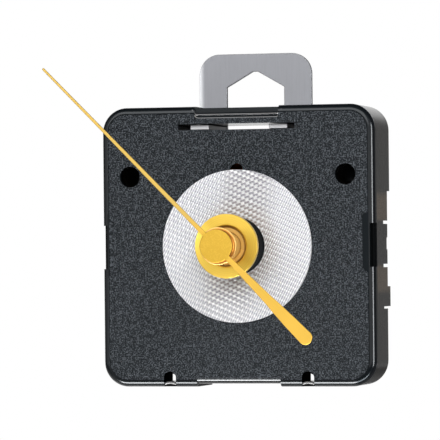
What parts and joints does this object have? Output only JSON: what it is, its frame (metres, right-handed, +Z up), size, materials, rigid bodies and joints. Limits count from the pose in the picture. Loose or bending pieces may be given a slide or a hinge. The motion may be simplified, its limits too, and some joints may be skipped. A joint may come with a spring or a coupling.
{
  "type": "reverse quartz clock movement",
  "caption": "Square black quartz clock movement that runs anticlockwise, with a threaded centre neck, round brass nut, gold seconds hand, adhesive disc and steel hanger.",
  "frame": {"origin": "on the hands' axis, in the flat front face of the housing", "axes": "+X to the right as seen from the front, +Y into the housing, +Z up; the hands' shafts point along -Y"},
  "size_m": [0.0631, 0.0339, 0.0672],
  "materials": {
    "case_plastic": "fine spark-eroded texture",
    "rear_plastic": "satin moulded",
    "brass": "turned",
    "pipe_brass": "drawn",
    "hand_gold": "matte gold",
    "hub_copper": "turned",
    "hanger_steel": "satin",
    "pin_steel": "polished",
    "foam": "foam",
    "liner": "embossed",
    "wheel_plastic": "moulded acetal",
    "plate_plastic": "moulded",
    "copper_wire": "enamelled",
    "iron": "annealed",
    "magnet": "sintered",
    "board": "solder mask",
    "epoxy": "cured drop",
    "contact_metal": "nickel plated"
  },
  "bodies": {
    "case": {"front_cover": "case_plastic", "rear_case": "rear_plastic", "threaded_neck": "pipe_brass", "adhesive_pad": "foam", "pad_liner": "liner", "hanger": "hanger_steel", "middle_plate": "plate_plastic", "third_pin": "pin_steel", "fifth_pin": "pin_steel", "motion_pin": "pin_steel", "coil_bobbin": "plate_plastic", "coil_winding": "copper_wire", "coil_core": "iron", "stator": "iron", "circuit_board": "board", "chip_cover": "epoxy", "quartz_crystal": "pin_steel", "positive_contact": "contact_metal", "negative_contact": "contact_metal", "cell_spring": "contact_metal"},
    "nut": {"dial_nut": "brass"},
    "seconds": {"seconds_wheel": "wheel_plastic", "seconds_shaft": "pin_steel", "seconds_hub": "hub_copper", "seconds_hand": "hand_gold"},
    "rotor": {"rotor_magnet": "magnet", "rotor_shaft": "pin_steel", "rotor_pinion": "wheel_plastic"},
    "fifth": {"fifth_wheel": "wheel_plastic"},
    "third": {"third_wheel": "wheel_plastic"},
    "centre": {"centre_wheel": "wheel_plastic", "minute_pipe": "pipe_brass"},
    "motion": {"motion_wheel": "wheel_plastic"},
    "hour": {"hour_wheel": "wheel_plastic", "hour_pipe": "pipe_brass"},
    "setting": {"setting_knob": "rear_plastic", "setting_pinion": "wheel_plastic"}
  },
  "joints": [
    {"name": "seconds_turn", "type": "hinge", "parent": "case", "child": "seconds", "pos_m": [0, 0, 0], "axis": [0, -1, 0], "continuous": true},
    {"name": "rotor_turn", "type": "hinge", "parent": "case", "child": "rotor", "pos_m": [-0.0007, 0, 0.00998], "axis": [0, -1, 0], "continuous": true},
    {"name": "fifth_turn", "type": "hinge", "parent": "case", "child": "fifth", "pos_m": [-0.00499, 0, 0.00638], "axis": [0, -1, 0], "continuous": true},
    {"name": "third_turn", "type": "hinge", "parent": "case", "child": "third", "pos_m": [-0.00734, 0, -0.00342], "axis": [0, -1, 0], "continuous": true},
    {"name": "centre_turn", "type": "hinge", "parent": "case", "child": "centre", "pos_m": [0, 0, 0], "axis": [0, -1, 0], "continuous": true},
    {"name": "motion_turn", "type": "hinge", "parent": "case", "child": "motion", "pos_m": [0.00591, 0, -0.00104], "axis": [0, -1, 0], "continuous": true},
    {"name": "hour_turn", "type": "hinge", "parent": "case", "child": "hour", "pos_m": [0, 0, 0], "axis": [0, -1, 0], "continuous": true},
    {"name": "setting_turn", "type": "hinge", "parent": "case", "child": "setting", "pos_m": [0.01155, 0, 0.00101], "axis": [0, -1, 0], "continuous": true},
    {"name": "dial_nut_travel", "type": "slide", "parent": "case", "child": "nut", "axis": [0, -1, 0], "range_m": [-0.0038, 0.006]}
  ],
  "couplings": [
    {"joint": "rotor_turn", "follows": "seconds_turn", "ratio": 30},
    {"joint": "fifth_turn", "follows": "seconds_turn", "ratio": -5},
    {"joint": "third_turn", "follows": "seconds_turn", "ratio": -0.13333},
    {"joint": "centre_turn", "follows": "seconds_turn", "ratio": 0.016667},
    {"joint": "motion_turn", "follows": "seconds_turn", "ratio": -0.0055556},
    {"joint": "hour_turn", "follows": "seconds_turn", "ratio": 0.0013889},
    {"joint": "setting_turn", "follows": "seconds_turn", "ratio": 0.016667}
  ]
}
